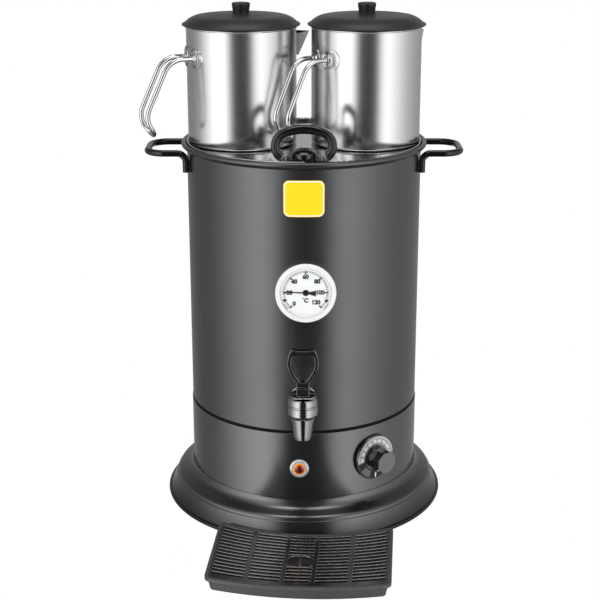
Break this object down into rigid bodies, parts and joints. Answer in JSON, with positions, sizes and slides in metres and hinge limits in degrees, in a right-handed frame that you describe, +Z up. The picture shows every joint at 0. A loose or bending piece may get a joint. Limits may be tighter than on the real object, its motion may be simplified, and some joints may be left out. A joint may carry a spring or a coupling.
{
  "type": "hot_water_urn",
  "caption": "Electric hot water urn in dark grey with lever tap, dial thermometer, thermostat, drip tray and steel serving jugs standing on its lid.",
  "frame": {"origin": "On the table, on the axis of the urn: the centre of the flat underside of the rubber foot ring.", "axes": "+Z up along the axis of the urn; -Y out of the front, where the tap is; +X to the right as seen from the front."},
  "size_m": [0.3411, 0.4274, 0.5464],
  "materials": {
    "body_grey": "satin powder coat, dark grey",
    "base_grey": "satin powder coat, dark grey",
    "rim_black": "black",
    "gloss_black": "glossy black",
    "rod_black": "gloss black enamel",
    "stainless": "brushed",
    "mirror_steel": "polished",
    "chrome": "polished",
    "zinc": "zinc plated",
    "brass": "plain",
    "seal_red": "silicone",
    "seal_white": "silicone",
    "rubber_black": "matt",
    "ceramic": "ceramic white",
    "white_case": "white",
    "lamp_orange": "translucent orange",
    "clear_glass": "clear",
    "dial_white": "white enamel",
    "dial_case": "white enamel",
    "pointer_black": "black",
    "badge_yellow": "yellow enamel",
    "dome_grey": "satin black",
    "knob_black": "black phenolic",
    "tray_black": "fine matt grain"
  },
  "bodies": {
    "urn": {"foot_ring": "rubber_black", "bottom_plate": "zinc", "base_brackets": "zinc", "base_screws": "zinc", "base_skirt": "base_grey", "lower_housing": "body_grey", "seam_band": "rim_black", "joint_ring": "zinc", "tank_jacket": "body_grey", "inner_tank": "stainless", "heating_element": "zinc", "element_bushes": "brass", "element_gaskets": "seal_red", "element_nuts": "brass", "thermal_cutout": "ceramic", "thermostat_body": "white_case", "capillary_tube": "brass", "sensor_bulb": "brass", "terminal_block": "ceramic", "cable_gland": "knob_black", "gland_nut": "knob_black", "pilot_bezel": "chrome", "pilot_lens": "lamp_orange", "pilot_body": "white_case", "thermometer_case": "zinc", "thermometer_bezel": "dial_case", "thermometer_dial": "dial_white", "thermometer_glass": "clear_glass", "thermometer_probe": "stainless", "thermometer_nut": "zinc", "wall_spacers": "seal_red", "tap_body": "chrome", "tap_bonnet": "chrome", "tap_gaskets": "seal_red", "tap_nut": "zinc", "side_handle_left": "rod_black", "side_handle_right": "rod_black", "badge_plate": "badge_yellow"},
    "tap_lever": {"tap_lever": "gloss_black", "lever_pin": "stainless"},
    "valve": {"valve_stem": "stainless", "seat_cup": "seal_white"},
    "knob": {"thermostat_knob": "gloss_black", "thermostat_shaft": "zinc"},
    "pointer": {"thermometer_pointer": "pointer_black"},
    "lid": {"urn_lid": "mirror_steel", "lid_handle": "gloss_black", "lid_handle_screws": "zinc"},
    "jug_left": {"jug_left_pot": "stainless", "jug_left_plate": "stainless", "jug_left_handle": "chrome"},
    "jug_left_cover": {"jug_left_lid": "dome_grey", "jug_left_knob": "knob_black"},
    "jug_right": {"jug_right_pot": "stainless", "jug_right_plate": "stainless", "jug_right_handle": "chrome"},
    "jug_right_cover": {"jug_right_lid": "dome_grey", "jug_right_knob": "knob_black"},
    "tray": {"drip_tray": "tray_black"},
    "grille": {"drip_grille": "tray_black"}
  },
  "joints": [
    {"name": "lid_lift", "type": "slide", "parent": "urn", "child": "lid", "axis": [0, 0, 1], "range_m": [0, 0.06]},
    {"name": "jug_left_lift", "type": "slide", "parent": "lid", "child": "jug_left", "axis": [0, 0, 1], "range_m": [0, 0.08]},
    {"name": "jug_left_cover_lift", "type": "slide", "parent": "jug_left", "child": "jug_left_cover", "axis": [0, 0, 1], "range_m": [0, 0.05]},
    {"name": "jug_right_lift", "type": "slide", "parent": "lid", "child": "jug_right", "axis": [0, 0, 1], "range_m": [0, 0.08]},
    {"name": "jug_right_cover_lift", "type": "slide", "parent": "jug_right", "child": "jug_right_cover", "axis": [0, 0, 1], "range_m": [0, 0.05]},
    {"name": "lever_tilt", "type": "hinge", "parent": "urn", "child": "tap_lever", "pos_m": [-0.00106, -0.174, 0.1718], "axis": [1, -0.0061, 0], "range_deg": [0, 25], "stiffness_Nm_per_rad": 0.4},
    {"name": "valve_lift", "type": "slide", "parent": "urn", "child": "valve", "axis": [0, 0, 1], "range_m": [0, 0.00353]},
    {"name": "thermostat_turn", "type": "hinge", "parent": "urn", "child": "knob", "pos_m": [0.07471, -0.10096, 0.078], "axis": [-0.5948, 0.8039, 0], "range_deg": [0, 270]},
    {"name": "pointer_turn", "type": "hinge", "parent": "urn", "child": "pointer", "pos_m": [0.00175, -0.12499, 0.27], "axis": [-0.014, 0.9999, 0], "range_deg": [-48.2, 221.8]},
    {"name": "tray_slide", "type": "slide", "parent": "urn", "child": "tray", "axis": [-0.0767, -0.9971, 0], "range_m": [0, 0.1]},
    {"name": "grille_lift", "type": "slide", "parent": "tray", "child": "grille", "axis": [0, 0, 1], "range_m": [0, 0.04]}
  ],
  "couplings": [
    {"joint": "valve_lift", "follows": "lever_tilt", "m_per_rad": 0.0081}
  ]
}
